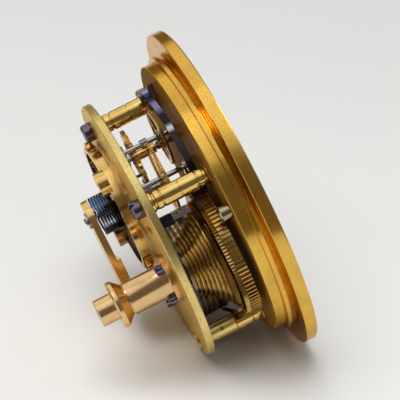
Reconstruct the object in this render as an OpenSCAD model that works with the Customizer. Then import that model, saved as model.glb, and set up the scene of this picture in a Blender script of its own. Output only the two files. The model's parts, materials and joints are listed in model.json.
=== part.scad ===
// Movement of a two-day marine chronometer, lying on a bench on its two rims.
// The movement's own frame has +Z out of the back, where the balance is, and z = 0 on the
// inner face of the pillar plate. Angles are counted anticlockwise as seen from the back.

/* [Pose on the bench] */
// Angle of the movement's axis above the bench, dial end up
lie_tilt = 20.25; // [19.5:0.25:21]
// Angle of the movement's upward direction about its own axis
lie_roll = 56.3; // [50:0.1:62]

/* [Plates and pillars] */
// Radius of the flange that seats in the bowl
flange_r = 52; // [51.8:0.1:52.2]
// Thickness of the flange
flange_t = 3.75; // [3.5:0.05:4]
// Radius of the raised ring between flange and pillar plate
ring_r = 45.7; // [45.4:0.1:46]
// Radius of the pillar plate
pillar_plate_r = 44.3; // [44:0.1:45]
// Thickness of the pillar plate
pillar_plate_t = 3.4; // [3.2:0.1:3.6]
// Radius of the top plate
top_plate_r = 41.8; // [41.6:0.1:42]
// Thickness of the top plate
top_plate_t = 2.45; // [2.3:0.05:2.6]
// Distance between the two plates
plate_gap = 19.2; // [19.1:0.1:19.4]
// Diameter of a pillar
pillar_d = 5.7; // [5.4:0.1:5.8]
// Angle and distance from the centre of each pillar
pillars_at = [[10.7, 34.2], [92.5, 34.2], [182, 34.2], [264, 37.3]];

/* [Power] */
// Direction of the fusee from the centre
fusee_angle = -42.5; // [-43:0.1:-42]
// Radius of the fusee at its small end
fusee_small_r = 8.2; // [8:0.1:8.4]
// Radius of the fusee at its large end
fusee_large_r = 17.5; // [17.2:0.1:17.6]
// Number of chain grooves on the fusee
fusee_turns = 8; // [7:1:9]
// Radius of the barrel drum
barrel_r = 16; // [15.6:0.1:16]
// Direction and distance of the barrel from the centre
barrel_at = [-141, 25];
// Teeth on the great wheel
great_teeth = 90; // [90]
// Module of the great wheel
great_module = 0.45; // [0.45]

/* [Going train] */
// Teeth on the centre wheel
centre_teeth = 90; // [90]
// Teeth on the third wheel and on the fourth wheel
train_teeth = 80; // [80]
// Leaves on the centre and third pinions
large_leaves = 12; // [12]
// Leaves on the fourth and escape pinions
small_leaves = 10; // [10]
// Direction and distance of the seconds arbor from the centre
fourth_at = [77.5, 24];
// Tip radius of the escape wheel
escape_r = 9; // [8.8:0.1:9.1]

/* [Balance] */
// Place of the balance staff
staff_x = -11.8; // [-12:0.1:-11.6]
staff_y = 10.5; // [10.3:0.1:10.7]
// Outer radius of the balance rim
balance_r = 20.7; // [20:0.1:20.8]
// Radius of the balance spring
spring_r = 6.2; // [6:0.1:6.3]
// Turns of the balance spring
spring_turns = 7; // [6:1:8]

/* [Dial and hands] */
// Radius of the dial
dial_r = 47.9; // [47.5:0.1:48]
// Length of the minute hand from its axis
minute_hand_l = 35; // [33:0.5:36]
// Length of the hour hand from its axis
hour_hand_l = 23; // [21:0.5:24]

/* [Hidden] */
$fn = 72;

running_gap = 0.05;
back_z = plate_gap + top_plate_t;
front_z = -pillar_plate_t;
ring_z = front_z - 1.3;
flange_z = front_z - 2.6;
flange_front_z = flange_z - flange_t;
dial_t = 0.8;
dial_z = flange_front_z + dial_t;

// A place given by direction and distance
function polar(a, r) = [r * cos(a), r * sin(a)];
// The crossing of two circles that lies to the left of the line from p to q
function meet(p, rp, q, rq) =
    let (d = norm(q - p), u = (q - p) / d, s = (d * d + rp * rp - rq * rq) / (2 * d),
         h = sqrt(rp * rp - s * s))
    p + u * s + [-u.y, u.x] * h;
// Direction from one place to another
function toward(p, q) = atan2(q.y - p.y, q.x - p.x);

great_d = great_module * (great_teeth + large_leaves) / 2;
centre_module = 0.3;
centre_d = centre_module * (centre_teeth + large_leaves) / 2;
third_module = 0.28;
third_d = third_module * (train_teeth + small_leaves) / 2;
fourth_module = 0.23;
fourth_d = fourth_module * (train_teeth + small_leaves) / 2;
motion_module = 0.3;
motion_d = motion_module * (36 + large_leaves) / 2;
hour_module = 2 * motion_d / (40 + small_leaves);
updown_module = 0.5;
updown_d = updown_module * (36 + large_leaves) / 2;

centre_p = [0, 0];
fusee_p = polar(fusee_angle, great_d);
barrel_p = polar(barrel_at[0], barrel_at[1]);
fourth_p = polar(fourth_at[0], fourth_at[1]);
third_p = meet(fourth_p, third_d, centre_p, centre_d);
staff_p = [staff_x, staff_y];
escape_p = fourth_p + polar(190.8, fourth_d);
minute_p = polar(180, motion_d);
updown_p = polar(fourth_at[0] + 180, 23);
idler_p = meet(fusee_p, updown_d, updown_p, updown_d);
detent_pivot_p = [5.6, 36.2];
stop_p = [25.6, -0.4];

// Reach of a circle of radius r at height z: below the centre, and towards the dial end
function depth(r, z) = r * cos(lie_tilt) + z * sin(lie_tilt);
function reach(r, z) = r * sin(lie_tilt) - z * cos(lie_tilt);
bench_z = max(depth(top_plate_r, back_z - 0.2), depth(flange_r, flange_z - 0.15));
post_end_z = back_z + 24.25;
post_x = fusee_p.x * sin(90 - lie_roll) + fusee_p.y * cos(90 - lie_roll);
high_x = reach(flange_r - 0.35, flange_front_z);
low_x = -(post_x + 3.9) * sin(lie_tilt) - post_end_z * cos(lie_tilt);
// Moves the movement's own frame to where it lies on the bench
module lying() {
    translate([-(high_x + low_x) / 2, 0, bench_z])
        rotate([0, -lie_tilt, 0])
            rotate([90, 0, -90])
                rotate([0, 0, 90 - lie_roll])
                    children();
}
module at(p, z = 0, a = 0) translate([p.x, p.y, z]) rotate([0, 0, a]) children();
// A cylinder between two heights
module disc(r, z0, z1) translate([0, 0, min(z0, z1)]) cylinder(r = r, h = abs(z1 - z0));
// A ring between two heights
module hoop(r, bore, z0, z1) difference() {
    disc(r, z0, z1);
    disc(bore, min(z0, z1) - 1, max(z0, z1) + 1);
}
// A block that is centred across X and Y, between two heights
module block(x, y, z0, z1) translate([-x / 2, -y / 2, z0]) cube([x, y, z1 - z0]);
// Outline of a toothed ring: n teeth of module m, the first one at angle turn
function teeth(n, m, tall, deep, tip, root, turn) = [
    for (i = [0 : n - 1], k = [0 : 3])
        let (a = turn + 360 / n * (i + [-root, -tip, tip, root][k]),
             r = m * n / 2 + (k == 0 || k == 3 ? -deep : tall) * m)
        polar(a, r)];
module wheel_outline(n, m, turn) polygon(teeth(n, m, 0.9, 1.2, 0.11, 0.26, turn));
module pinion_outline(n, m, turn) polygon(teeth(n, m, 0.6, 1.3, 0.10, 0.24, turn));
// A crossed-out wheel: teeth, rim, arms and a hub with a bore
module train_wheel(n, m, turn, arms, hub, bore, z0, z1) {
    inner = m * n / 2 - 1.2 * m - 1.1;
    translate([0, 0, z0]) linear_extrude(z1 - z0) {
        difference() {
            wheel_outline(n, m, turn);
            circle(inner);
        }
        difference() {
            union() {
                circle(hub);
                for (i = [0 : arms - 1]) rotate(turn + 360 / arms * i)
                    translate([bore + 0.2, -0.5]) square([inner - bore, 1]);
            }
            circle(bore);
        }
    }
}
module pinion(n, m, turn, bore, z0, z1) translate([0, 0, z0]) linear_extrude(z1 - z0)
    difference() {
        pinion_outline(n, m, turn);
        circle(bore);
    }
// A screw with a slotted, bevelled head standing on z = 0 and its shank below
module screw(head_r, head_h, shank_r, shank_l, slot_w, slot_a = 0) {
    bevel = head_h * 0.16;
    difference() {
        union() {
            disc(head_r, 0, head_h - bevel);
            translate([0, 0, head_h - bevel])
                cylinder(r1 = head_r, r2 = head_r - bevel, h = bevel);
            if (shank_l > 0) disc(shank_r, -shank_l, 0);
        }
        rotate([0, 0, slot_a]) block(3 * head_r, slot_w, head_h * 0.6, head_h + 1);
    }
}

// ---- Frame ----
module dial_flange() lying() color("gold") difference() {
    rotate_extrude() polygon([
        [40.9, dial_z], [dial_r + 0.1, dial_z], [dial_r + 0.1, flange_front_z],
        [flange_r - 0.35, flange_front_z], [flange_r, flange_front_z + 0.35],
        [flange_r, flange_z - 0.15], [flange_r - 0.15, flange_z],
        [ring_r + 0.1, flange_z], [ring_r + 0.05, flange_z - 0.05],
        [ring_r - 0.7, flange_z - 0.05], [ring_r - 1.1, flange_z + 0.3],
        [ring_r - 0.9, flange_z + 0.7],
        [ring_r - 0.3, ring_z - 0.2], [ring_r, ring_z], [ring_r, front_z],
        [37.6, front_z], [37.6, ring_z], [40.9, ring_z]]);
    for (a = flange_screw_angles) at(polar(a, 40.4)) disc(1.2, ring_z - 1, front_z + 1);
    for (a = dial_screw_angles) at(polar(a, 45)) disc(0.7, dial_z - 1, dial_z + 2.2);
}
dial_screw_angles = [for (i = [0 : 2]) fourth_at[0] + 60 + 120 * i];
flange_screw_angles = [for (i = [0 : 2]) -8.1 + 120 * i];

// The pillar plate, with the studs of the minute wheel and of the up-and-down idler
module pillar_plate() lying() color("goldenrod") difference() {
    union() {
        rotate_extrude() polygon([[0, front_z], [pillar_plate_r, front_z],
            [pillar_plate_r, -0.2], [pillar_plate_r - 0.2, 0], [0, 0]]);
        at(minute_p) disc(0.6, -7.4, front_z);
        at(idler_p) disc(1.0, -7.6, front_z);
    }
    at(centre_p) disc(1.0 + running_gap, front_z - 1, 1);
    at(fusee_p) disc(1.5 + running_gap, front_z - 1, 1);
    at(barrel_p) disc(1.8 + running_gap, front_z - 1, 1);
    at(third_p) disc(0.45 + running_gap, front_z - 1, 1);
    at(fourth_p) disc(0.55 + running_gap, front_z - 1, 1);
    at(escape_p) disc(0.4 + running_gap, front_z - 1, 1);
    at(updown_p) disc(0.6 + running_gap, front_z - 1, 1);
    for (a = pillars_at) at(polar(a[0], a[1])) disc(1.6, front_z - 1, 1);
    for (a = flange_screw_angles) at(polar(a, 40.4)) disc(1.2, front_z - 1, 1);
}

module top_plate() lying() color("darkkhaki") difference() {
    rotate_extrude() polygon([[0, plate_gap], [top_plate_r - 0.2, plate_gap],
        [top_plate_r, plate_gap + 0.2], [top_plate_r, back_z - 0.2],
        [top_plate_r - 0.2, back_z], [0, back_z]]);
    at(staff_p) disc(3.4, plate_gap - 1, back_z + 1);
    at(fusee_p) disc(1.75 + running_gap, plate_gap - 1, back_z + 1);
    at(centre_p) disc(0.7 + running_gap, plate_gap - 1, back_z + 1);
    at(barrel_p) disc(1.8 + running_gap, plate_gap - 1, back_z + 1);
    at(third_p) disc(0.45 + running_gap, plate_gap - 1, back_z + 1);
    at(fourth_p) disc(0.45 + running_gap, plate_gap - 1, back_z + 1);
    at(escape_p) disc(0.4 + running_gap, plate_gap - 1, back_z + 1);
    for (a = pillars_at) at(polar(a[0], a[1])) disc(1.4, plate_gap - 1, back_z + 1);
    for (i = [0 : 2]) at(fusee_p + polar(post_screw_angle + 120 * i, 6.3))
        disc(0.7, plate_gap - 1, back_z + 1);
    at(cock_screw_p) disc(1.3, plate_gap - 1, back_z + 1);
    for (p = plate_screws_at) at(p) disc(0.8, plate_gap - 1, back_z + 1);
}

module pillars() lying() color("khaki") for (a = pillars_at) at(polar(a[0], a[1])) {
    r = pillar_d / 2;
    difference() {
        rotate_extrude() polygon([[0, 0], [r + 0.7, 0], [r + 0.7, 0.7], [r + 0.2, 1.1],
            [r - 0.5, 1.4], [r - 0.5, 1.8], [r, 2.1], [r, 3.5], [r - 0.4, 3.7],
            [r - 0.4, 4.0], [r, 4.2], [r, 9.2], [r - 0.15, 9.3], [r - 0.15, 9.5], [r, 9.6],
            [r, plate_gap - 4.2], [r - 0.4, plate_gap - 4.0], [r - 0.4, plate_gap - 3.7],
            [r, plate_gap - 3.5], [r, plate_gap - 2.1], [r - 0.5, plate_gap - 1.8],
            [r - 0.5, plate_gap - 1.4], [r + 0.1, plate_gap - 1.1],
            [r + 0.25, plate_gap - 0.6], [r + 0.25, plate_gap], [0, plate_gap]]);
        disc(1.4, plate_gap - 4.5, plate_gap + 1);
    }
    disc(1.6, front_z, 0);
}

// The pillar behind the winding post has a flat-headed screw
low_screw = 3;
module pillar_screws() lying() color("slateblue") for (i = [0 : 3])
    at(polar(pillars_at[i][0], pillars_at[i][1]), back_z)
        screw(2.9, i == low_screw ? 0.8 : 3.1, 1.4, top_plate_t + 4.5, 0.8, 35 + 70 * i);

// Screws that hold the flange to the pillar plate, with their heads between the plates
module flange_screws() lying() color("silver") for (i = [0 : 2])
    at(polar(flange_screw_angles[i], 40.4)) screw(2.4, 3.6, 1.2, -ring_z, 0.8, 90 + 50 * i);

module dial() lying() color("whitesmoke") difference() {
    disc(dial_r, flange_front_z, dial_z);
    at(centre_p) disc(2.4, dial_z + 1, flange_front_z - 1);
    at(fourth_p) disc(0.9, dial_z + 1, flange_front_z - 1);
    at(updown_p) disc(0.9, dial_z + 1, flange_front_z - 1);
    for (p = [fourth_p, updown_p]) at(p) disc(9.5, flange_front_z - 1, flange_front_z + 0.25);
    for (a = dial_screw_angles) at(polar(a, 45)) disc(0.7, dial_z + 1, flange_front_z - 1);
}

module dial_screws() lying() color("steelblue") for (a = dial_screw_angles)
    at(polar(a, 45), flange_front_z) rotate([180, 0, 0]) screw(1.2, 0.5, 0.7, 2.2, 0.3, a);

post_screw_angle = 35;
module winding_post() lying() color("rosybrown") at(fusee_p, back_z) difference() {
    rotate_extrude() polygon([[2.6, 0], [7.5, 0], [7.6, 0.1], [7.6, 1.5], [7.5, 1.65],
        [5.05, 1.65], [5.0, 1.75], [5.0, 14.4], [4.8, 14.7], [7.1, 17.1], [7.3, 17.3],
        [7.3, 18.4], [7.0, 18.75], [4.3, 18.75], [4.15, 18.9], [4.15, 24.0], [3.9, 24.25],
        [2.6, 24.25]]);
    for (i = [0 : 2]) at(polar(post_screw_angle + 120 * i, 6.3)) disc(0.7, -1, 3);
    translate([0, 0, 11.3]) rotate([90, 0, -50]) translate([0, 0, 4]) cylinder(r = 0.4, h = 2);
}
module winding_post_screws() lying() color("midnightblue") for (i = [0 : 2])
    at(fusee_p + polar(post_screw_angle + 120 * i, 6.3), back_z + 1.65)
        screw(1.2, 2.5, 0.7, 1.65 + top_plate_t, 0.45, 20 + 50 * i);

plate_screws_at = [[-21, -23.6], [stop_p.x + 0.1, stop_p.y], [-24.5, 22.5]];
module plate_screws() lying() color("midnightblue") for (i = [0 : 2])
    at(plate_screws_at[i], back_z)
        screw(1.3, i == 0 ? 2.6 : 0.7, 0.8, top_plate_t, 0.4, 40 * i);

// ---- Power ----
great_z = [2.5, 5.6];
module great_wheel() lying() color("darkgoldenrod") at(fusee_p) difference() {
    translate([0, 0, great_z[0]]) linear_extrude(great_z[1] - great_z[0])
        wheel_outline(great_teeth, great_module, toward(fusee_p, centre_p));
    disc(1.75 + running_gap, 0, 9);
    hoop(15.6, 11.4, great_z[1] - 1.1, great_z[1] + 1);
}
module maintaining_spring() lying() color("slategray") at(fusee_p) difference() {
    hoop(15.2, 13.8, great_z[1] - 1.1, great_z[1] - 0.1);
    rotate([0, 0, 20]) translate([10, -1.5, 0]) cube([8, 3, 9]);
}
ratchet_teeth = 120;
ratchet_r = 19.7;
module maintaining_ratchet() lying() color("peru") at(fusee_p, great_z[1])
    linear_extrude(1.3) difference() {
        polygon([for (i = [0 : ratchet_teeth - 1], k = [0 : 3])
            polar(360 / ratchet_teeth * (i + [0, 0.42, 0.5, 0.98][k]),
                ratchet_r - [0, 0.25, 0.9, 0.9][k])]);
        circle(1.75 + running_gap);
    }
click_z = [great_z[1] + 1.3, great_z[1] + 2.3];
// Two clicks and their bent springs, which the maintaining ratchet carries
module winding_clicks() lying() color("slategray") at(fusee_p) for (a = [0, 180])
    rotate([0, 0, a]) translate([0, 0, click_z[0]]) linear_extrude(click_z[1] - click_z[0]) {
        polygon([[7.1, 0], [9.8, -1.2], [9.8, 1.6], [8.2, 4.2], [6.9, 3.6]]);
        difference() {
            circle(10.6);
            circle(9.8);
            rotate(-170) translate([-20, 0]) square([40, 20]);
            rotate(120) translate([0, -20]) square([20, 40]);
        }
    }
cone_z = [7.1, 17.5];
function fusee_r(u) = fusee_small_r + (fusee_large_r - fusee_small_r) * pow(u, 1.35);
groove_pitch = (cone_z[1] - cone_z[0] - 1.2) / fusee_turns;
module fusee_cone() lying() color("darkgoldenrod") at(fusee_p) difference() {
    rotate_extrude() polygon(concat(
        [[1.75, cone_z[0]], [fusee_large_r, cone_z[0]]],
        [for (i = [0 : fusee_turns - 1], k = [0 : 3])
            let (z = cone_z[0] + 1.2 + groove_pitch * (i + [0, 0.16, 0.62, 0.8][k]),
                 u = (cone_z[1] - z) / (cone_z[1] - cone_z[0]))
            [fusee_r(u) - (k == 1 || k == 2 ? 0.75 : 0), z]],
        [[fusee_small_r, cone_z[1]], [1.75, cone_z[1]]]));
    disc(11.2, cone_z[0] - 1, cone_z[0] + 1.3);
}
module winding_ratchet() lying() color("slategray") at(fusee_p, cone_z[0] + 0.1)
    linear_extrude(1.2) difference() {
        polygon([for (i = [0 : 23], k = [0 : 1]) polar(15 * (i + 0.85 * k), 6.5 - 0.9 * k)]);
        circle(1.75);
    }
module fusee_arbor() lying() color("lightsteelblue") at(fusee_p) difference() {
    union() {
        disc(1.5, -6.4, 0);
        disc(1.75, 0.2, back_z);
        disc(1.5, -0.1, 0.3);
        block(2.6, 2.6, back_z, 44.6);
        pinion(large_leaves, updown_module, toward(fusee_p, idler_p) + 15, 1.2, -5.7, -3.9);
        disc(2.6, 17.5, 18.1);
        translate([0, 0, 18]) linear_extrude(0.6) union() {
            circle(13.5);
            polygon([polar(196, 12), polar(204, 14.2), polar(207, 14.2), polar(208, 12)]);
        }
    }
    translate([0, 0, 42]) cylinder(r1 = 0.01, r2 = 0.4, h = 3);
}
// The long blued detent that keeps the maintaining ratchet from turning back
detent_curve = [detent_pivot_p, [14.5, 32.3], [22.0, 26.4], [26.4, 19.5], [28.6, 12.8],
    [28.9, 7.4], [29.4, 2.6]];
detent_z = [1.9, 4.0];
module bar_between(p, q, w, z0, z1) hull() {
    at(p) disc(w / 2, z0, z1);
    at(q) disc(w / 2, z0, z1);
}
module maintaining_detent() lying() color("royalblue") difference() {
    union() {
        for (i = [0 : len(detent_curve) - 2])
            bar_between(detent_curve[i], detent_curve[i + 1], 0.8, detent_z[0], detent_z[1],
                $fn = 20);
        at(detent_curve[0]) disc(1.9, detent_z[0], detent_z[1]);
        at(detent_curve[6]) disc(0.8, detent_z[0], 6.8);
        translate([0, 0, 5.7]) linear_extrude(1.1)
            polygon([[28.8, 2.9], [30.1, 3.0], [31.6, -2.0]]);
    }
    at(detent_curve[0]) disc(0.9 + running_gap, 0, 9);
}
module detent_block() lying() color("black") {
    at(detent_pivot_p) {
        block(4.4, 4.4, 0, detent_z[0] - 0.2);
        disc(0.9, 0, detent_z[1] + 0.3);
        disc(1.7, detent_z[1] + 0.2, detent_z[1] + 1.1);
    }
}
stop_axis_z = 15.5;
module stop_pin(r, l) translate([0, 0, stop_axis_z]) rotate([0, 90, 0])
    cylinder(r = r, h = l, center = true);
module stop_block() lying() color("darkslateblue") at(stop_p) {
    difference() {
        block(4.2, 3.4, 14.4, plate_gap);
        block(1.7, 9, 13, 16.6);
    }
    stop_pin(0.35, 4.2);
}
module stop_lever() lying() color("silver") at(stop_p) difference() {
    union() {
        block(1.3, 1.3, 8.6, 16.2);
        translate([0, 0.65, 0]) block(1.3, 2.6, 9.4, 11.0);
    }
    stop_pin(0.35 + running_gap, 5);
}
module drilled_post() lying() color("goldenrod") at([10, -36]) difference() {
    rotate_extrude() polygon([[0, 10.3], [2.0, 10.3], [2.3, 10.6], [2.3, plate_gap],
        [0, plate_gap]]);
    translate([0, 0, 15.2]) rotate([90, 0, 90]) cylinder(r = 0.7, h = 9, center = true);
}
drum_z = [6.0, 17.8];
module barrel_drum() lying() color("goldenrod") at(barrel_p) difference() {
    disc(barrel_r, drum_z[0], drum_z[1]);
    disc(barrel_r - 0.9, drum_z[0] + 1.0, drum_z[1] + 1);
    disc(2.0 + running_gap, 0, 20);
}
module barrel_cap() lying() color("gold") at(barrel_p)
    hoop(barrel_r - 0.92, 2.0 + running_gap, drum_z[1] - 1.0, drum_z[1]);
module barrel_arbor() lying() color("slategray") at(barrel_p) {
    disc(1.8, front_z, 0.3);
    disc(2.0, 0.25, plate_gap - 0.25);
    disc(1.8, plate_gap - 0.3, back_z - 0.3);
    block(2.4, 2.4, -5.8, front_z);
    disc(4.2, 7.6, 16.2);
}
spring_coils = 7;
module mainspring() lying() color("steelblue") at(barrel_p, 7.6) linear_extrude(8.6)
    polygon(concat(
        [for (i = [0 : 12 * spring_coils]) polar(30 * i, 4.3 + 10.0 * i / (12 * spring_coils))],
        [for (i = [12 * spring_coils : -1 : 0])
            polar(30 * i, 4.95 + 10.0 * i / (12 * spring_coils))]));
coil_count = 5;
chain_t = 0.6;
chain_h = 1.3;
module chain_coils() lying() color("dimgray") at(barrel_p) for (i = [0 : coil_count])
    hoop(barrel_r + chain_t, barrel_r, 7.4 + 1.72 * i, 7.4 + 1.72 * i + chain_h);
// The straight run of the chain, on the rim side of the barrel and the fusee
chain_side = toward(barrel_p, fusee_p) - 90;
module chain_run() lying() color("dimgray") {
    p = barrel_p + polar(chain_side, barrel_r + 1.05);
    q = fusee_p + polar(chain_side, fusee_large_r + 0.7);
    at(p, 8.5, toward(p, q)) translate([0, -chain_t / 2, 0])
        cube([norm(q - p), chain_t, chain_h]);
}
module setup_ratchet() lying() color("slategray") at(barrel_p, -4.9) linear_extrude(1.2)
    difference() {
        polygon([for (i = [0 : 29], k = [0 : 1]) polar(12 * (i + 0.85 * k), 5.4 - 0.7 * k)]);
        square(2.4, center = true);
    }
click_p = barrel_p + [-5.2, 7.4];
module setup_click() lying() color("royalblue") at(click_p) {
    translate([0, 0, -4.9]) linear_extrude(1.2) polygon([[-1.6, -1.4], [1.2, -2.4],
        [4.3, -1.9], [2.0, 1.2], [-1.6, 1.4]]);
    translate([0, 0, -4.9]) rotate([180, 0, 0]) screw(1.3, 0.8, 0.6, 1.5, 0.4);
}

// ---- Going train ----
centre_z = [0.9, 1.7];
module centre_wheel() lying() color("goldenrod") at(centre_p) train_wheel(centre_teeth,
    centre_module, toward(centre_p, third_p), 5, 3.2, 1.3, centre_z[0], centre_z[1]);
module centre_arbor() lying() color("silver") at(centre_p) {
    disc(1.0, -3.5, 0.1);
    disc(0.8, -12.6, -3.4);
    disc(1.3, 0.1, 18.8);
    disc(0.7, 18.7, back_z - 0.2);
    pinion(large_leaves, great_module, toward(centre_p, fusee_p) + 15, 1.2, 2.2, 5.9);
}
module third_wheel() lying() color("goldenrod") at(third_p) train_wheel(train_teeth,
    third_module, toward(third_p, fourth_p), 5, 2.4, 0.8, 9.6, 10.4);
module third_arbor() lying() color("silver") at(third_p) {
    disc(0.45, -2.8, 20.8);
    disc(0.8, 0.3, 18.8);
    pinion(large_leaves, centre_module, toward(third_p, centre_p) + 15, 0.7, 0.5, 2.3);
    disc(1.5, 8.8, 9.6);
}
module fourth_wheel() lying() color("goldenrod") at(fourth_p) train_wheel(train_teeth,
    fourth_module, toward(fourth_p, escape_p), 4, 2.2, 0.8, 4.3, 5.2);
module fourth_arbor() lying() color("silver") at(fourth_p) {
    disc(0.55, -10.3, 0.3);
    disc(0.45, 18.7, 20.8);
    disc(0.8, 0.25, 18.8);
    pinion(small_leaves, third_module, toward(fourth_p, third_p) + 18, 0.7, 8.9, 11.3);
    disc(1.5, 5.2, 6.2);
}
escape_z = [13.0, 14.2];
module escape_wheel() lying() color("gold") at(escape_p, escape_z[0])
    linear_extrude(escape_z[1] - escape_z[0]) {
        difference() {
            polygon([for (i = [0 : 14], k = [0 : 3]) polar(24 * i + [0, 3.4, 12, 21][k],
                [escape_r, escape_r - 0.35, escape_r - 2.0, escape_r - 2.0][k])]);
            circle(escape_r - 3.1);
        }
        difference() {
            circle(2.0);
            circle(0.9);
        }
        for (i = [0 : 3]) rotate(90 * i) translate([1.4, -0.45]) square([escape_r - 4.2, 0.9]);
    }
module escape_arbor() lying() color("silver") at(escape_p) {
    disc(0.4, -2.6, 20.8);
    disc(0.9, 0.3, 18.8);
    pinion(small_leaves, fourth_module, toward(escape_p, fourth_p) + 18, 0.8, 3.7, 6.0);
    disc(1.7, 6.6, escape_z[0] - 0.1);
}

// ---- Escapement and balance ----
detent_foot_p = [-21.2, 21.8];
// The detent: a round hub at its foot, a thin spring and the arm of the locking stone
module escapement_detent() lying() color("slategray") {
    foot = detent_foot_p;
    tip = staff_p + polar(141, 2.4);
    a = toward(foot, tip);
    l = norm(tip - foot);
    at(foot, 15.5, a) {
        hoop(0.85, 0.35, 0, 0.9);
        translate([0.7, -0.15, 0]) cube([l - 0.7, 0.3, 0.9]);
        translate([8.8, 0, 0]) cube([1.2, 2.6, 0.9]);
        translate([9.4, 2.6, -2.2]) cylinder(r = 0.5, h = 3.1);
    }
}
module detent_foot() lying() color("steelblue")
    at(detent_foot_p, 0, toward(detent_foot_p, staff_p)) {
        difference() {
            translate([-2.2, 0, 0]) block(6.2, 3.6, 14.2, plate_gap);
            translate([-0.95, -5, 15.3]) cube([3, 10, 1.3]);
        }
        disc(0.3, 15.2, 16.7);
    }
module potence() lying() color("goldenrod") difference() {
    union() {
        at(staff_p, 0, 205) {
            translate([5.6, -2.6, 7.2]) cube([4.4, 5.2, plate_gap - 7.2]);
            translate([0, -2.4, 7.2]) cube([6.0, 4.8, 2.4]);
        }
        at(staff_p) disc(2.4, 7.2, 9.6);
    }
    at(staff_p) disc(0.32 + running_gap, 7, 10);
}
cock_a = -97;
cock_z = [32.4, 34.5];
cock_screw_p = staff_p + polar(cock_a, 27.7);
module balance_cock() lying() color("darkgoldenrod") difference() {
    union() {
        at(staff_p) disc(6.2, cock_z[0], cock_z[1]);
        at(staff_p, 0, cock_a) {
            translate([0, -6.0, cock_z[0]]) cube([26.0, 12.0, cock_z[1] - cock_z[0]]);
            translate([24.2, -8.0, back_z]) cube([7.2, 16.0, cock_z[1] - back_z]);
            translate([14, -6.0, cock_z[0] - 1.1]) cube([11, 12.0, 1.5]);
        }
    }
    at(staff_p) disc(1.5, 30, 40);
    at(cock_screw_p) disc(1.3, 20, 40);
}
module cock_screw() lying() color("slateblue") at(cock_screw_p, cock_z[1])
    screw(2.6, 1.6, 1.3, cock_z[1] - plate_gap, 0.7, 60);
module cock_jewel() lying() color("crimson") at(staff_p) difference() {
    union() {
        disc(1.5, cock_z[0], cock_z[1]);
        disc(2.6, cock_z[1], cock_z[1] + 0.7);
        for (s = [-1, 1]) at(polar(cock_a + 90, 2.9 * s), cock_z[1])
            screw(0.75, 1.2, 0.5, 0, 0.25, 30);
    }
    disc(0.32 + running_gap, 30, cock_z[1]);
}
spring_z = [25.3, 31.7];
spring_a = 20;
ribbon_h = 0.28;
module spring_stud() lying() color("slategray") at(staff_p + polar(spring_a, spring_r), 0, spring_a)
    block(1.6, 1.2, spring_z[1] + ribbon_h + 0.02, cock_z[0]);
// The helical spring, swept as a flat ribbon from its stud down to the arm of its collet
spring_steps = 22 * spring_turns;
function ribbon(i) =
    let (t = spring_a + 360 * spring_turns * i / spring_steps,
         z = spring_z[1] - (spring_z[1] - spring_z[0]) * i / spring_steps)
    [for (c = [[-1, -1], [1, -1], [1, 1], [-1, 1]])
        [(spring_r + 0.13 * c.x) * cos(t), (spring_r + 0.13 * c.x) * sin(t), z + ribbon_h * c.y]];
module balance_spring() lying() color("blue") at(staff_p) polyhedron(
    points = [for (i = [0 : spring_steps]) each ribbon(i)],
    faces = concat([[3, 2, 1, 0]], [[for (k = [0 : 3]) 4 * spring_steps + k]],
        [for (i = [0 : spring_steps - 1], k = [0 : 3])
            [4 * i + k, 4 * i + (k + 1) % 4, 4 * i + 4 + (k + 1) % 4, 4 * i + 4 + k]]));
arm_a = -45;
rim_z = [22.6, 25.8];
module balance_staff() lying() color("slategray") at(staff_p) {
    disc(0.32, 7.6, cock_z[1] - 0.3);
    disc(0.9, 9.9, 32.1);
    disc(3.8, 12.7, 14.4);
    disc(1.7, 15.6, 16.4);
    disc(2.2, 24.7, 26.6);
    rotate([0, 0, spring_a]) translate([1, -0.5, 24.7])
        cube([spring_r - 0.5, 1, spring_z[0] - ribbon_h - 24.72]);
}
module balance_rim() lying() color("gold") at(staff_p) difference() {
    union() {
        hoop(balance_r, balance_r - 1.9, rim_z[0], rim_z[1]);
        rotate([0, 0, arm_a]) block(2 * balance_r - 2, 4.4, rim_z[0] + 0.4, 24.7);
        disc(5.2, rim_z[0] + 0.4, 24.7);
    }
    disc(0.9, 20, 30);
    for (a = [0, 180]) rotate([0, 0, arm_a + a - 14]) translate([15, -0.5, 20]) cube([9, 1, 9]);
}
weight_a = 22.7;
module balance_weights() lying() color("goldenrod") at(staff_p) difference() {
    for (a = [0, 180]) at(polar(weight_a + a, balance_r - 0.9)) hoop(3.9, 0.9, 25.0, 28.3);
    hoop(balance_r, balance_r - 1.9, rim_z[0], rim_z[1]);
}
screw_angles = [55, 72, 88, 108];
module balance_screws() lying() color("orange") at(staff_p)
    for (s = [0, 180], a = screw_angles) rotate([0, 0, a + s])
        translate([balance_r, 0, (rim_z[0] + rim_z[1]) / 2]) rotate([0, 90, 0])
            screw(1.15, 1.3, 0.5, 0, 0.4);

// ---- Motion work, hands and the up-and-down indicator ----
module cannon_pinion() lying() color("slategray") at(centre_p) {
    pinion(large_leaves, motion_module, toward(centre_p, minute_p) + 15, 0.8, -5.2, -3.8);
    hoop(1.2, 0.8, -11.6, -5.1);
}
module minute_wheel() lying() color("goldenrod") at(minute_p) {
    train_wheel(36, motion_module, toward(minute_p, centre_p), 4, 1.8, 0.6 + running_gap,
        -5.0, -4.2);
    pinion(small_leaves, hour_module, toward(minute_p, centre_p) + 18, 0.6 + running_gap,
        -7.0, -4.9);
}
module hour_wheel() lying() color("goldenrod") at(centre_p) {
    train_wheel(40, hour_module, toward(centre_p, minute_p), 4, 2.4, 1.2 + running_gap,
        -6.7, -5.9);
    hoop(1.9, 1.2 + running_gap, -10.8, -6.6);
}
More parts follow.
